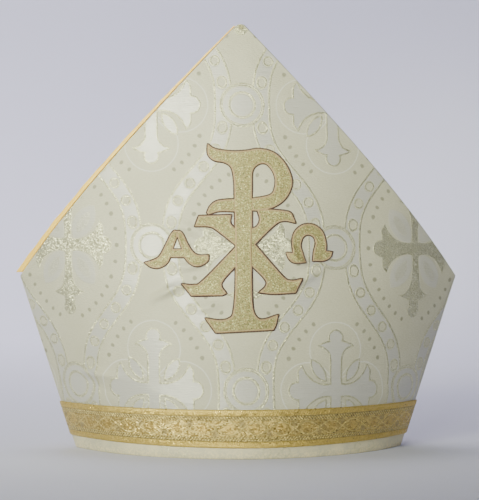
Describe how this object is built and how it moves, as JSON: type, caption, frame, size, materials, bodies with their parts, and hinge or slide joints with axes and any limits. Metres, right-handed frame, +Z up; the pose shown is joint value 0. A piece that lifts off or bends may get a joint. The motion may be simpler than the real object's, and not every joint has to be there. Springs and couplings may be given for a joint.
{
  "type": "bishop mitre",
  "caption": "Stiff brocade mitre with two pointed horns, a satin-lined cleft between them, a woven braid round the brow and sewn-on Chi-Rho, Alpha and Omega letters on the front.",
  "frame": {"origin": "middle of the crown's rim, in the plane that it stands on", "axes": "+Z up through the horns, -Y towards the front with the letters, +X along the flat width towards the Omega's side"},
  "size_m": [0.3343, 0.1462, 0.3152],
  "materials": {
    "brocade": "cream and gold figured brocade over a stiffener",
    "lining_satin": "gold-orange satin",
    "lining_edge_satin": "gold-orange satin, turned and stitched",
    "gold_braid": "woven metallic gold braid",
    "gold_embroidery": "couched metallic gold thread with a satin-stitched border"
  },
  "bodies": {
    "root": {"front_panel": "brocade", "back_panel": "brocade", "horn_lining": "lining_satin", "lining_edge": "lining_edge_satin", "galloon_band": "gold_braid", "chi_rho": "gold_embroidery", "alpha": "gold_embroidery", "omega": "gold_embroidery"}
  },
  "joints": []
}
